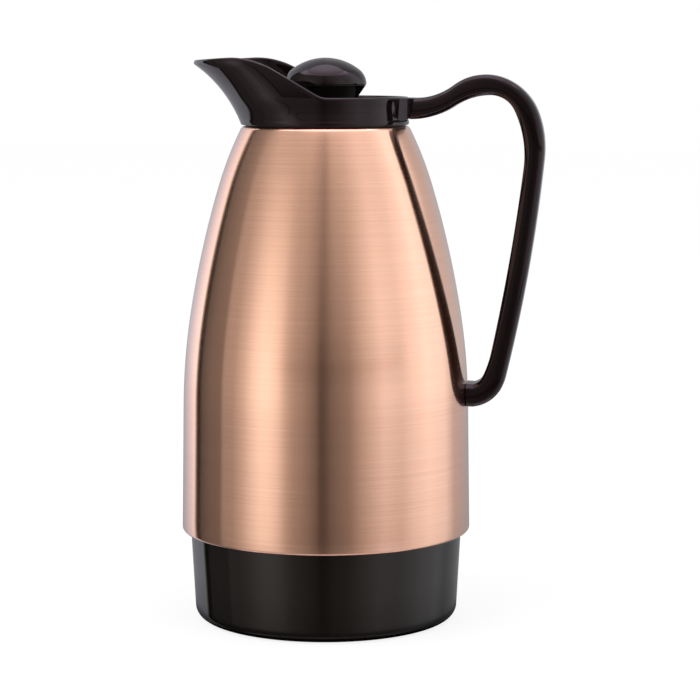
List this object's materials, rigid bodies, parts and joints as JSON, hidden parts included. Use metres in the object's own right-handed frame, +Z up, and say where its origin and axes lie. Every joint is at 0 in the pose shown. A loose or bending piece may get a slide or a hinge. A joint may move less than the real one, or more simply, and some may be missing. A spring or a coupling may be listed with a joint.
{
  "type": "coffee carafe",
  "caption": "Tall insulated coffee carafe: tapered brushed copper jacket on a black base cup, moulded collar with pouring spout, looped side handle and screw-in stopper with a domed knob.",
  "frame": {"origin": "centre of the base cup's underside, on the surface that the carafe stands on", "axes": "+Z up along the jacket's axis, +X towards the handle, -X towards the spout"},
  "size_m": [0.1753, 0.1402, 0.2715],
  "materials": {
    "copper_jacket": "copper-tone, brushed round the axis, satin lacquer",
    "brown_plastic": "glossy dark brown-black moulding",
    "black_plastic": "glossy black moulding",
    "silvered_glass": "silvered double-wall glass",
    "rubber": "matt moulded rubber",
    "seal": "translucent silicone",
    "pad": "pressed fibre pad",
    "foam": "rigid foam",
    "steel": "zinc-plated steel"
  },
  "bodies": {
    "carafe": {"outer_shell": "copper_jacket", "base_cup": "black_plastic", "base_ring": "black_plastic", "collar": "brown_plastic", "collar_gasket": "rubber", "clamp_ring": "black_plastic", "neck_gasket": "rubber", "inner_bottle": "silvered_glass", "outer_bottle": "silvered_glass", "spacer_pads": "pad", "liner_cushion": "rubber", "handle": "brown_plastic", "handle_plate": "steel", "handle_screw": "steel"},
    "seal_ring": {"stopper_seal": "seal"},
    "stopper": {"stopper_body": "black_plastic", "stopper_bottom_cap": "black_plastic", "stopper_foam": "foam", "knob_base": "black_plastic", "knob_cap": "brown_plastic", "stopper_screw": "steel"}
  },
  "joints": [
    {"name": "stopper_rise", "type": "slide", "parent": "carafe", "child": "seal_ring", "axis": [0, 0, 1], "range_m": [0, 0.06]},
    {"name": "stopper_turn", "type": "hinge", "parent": "seal_ring", "child": "stopper", "pos_m": [0, 0, 0.232], "axis": [0, 0, 1], "range_deg": [0, 1800]}
  ],
  "couplings": [
    {"joint": "stopper_rise", "follows": "stopper_turn", "m_per_rad": 0.0019099}
  ]
}
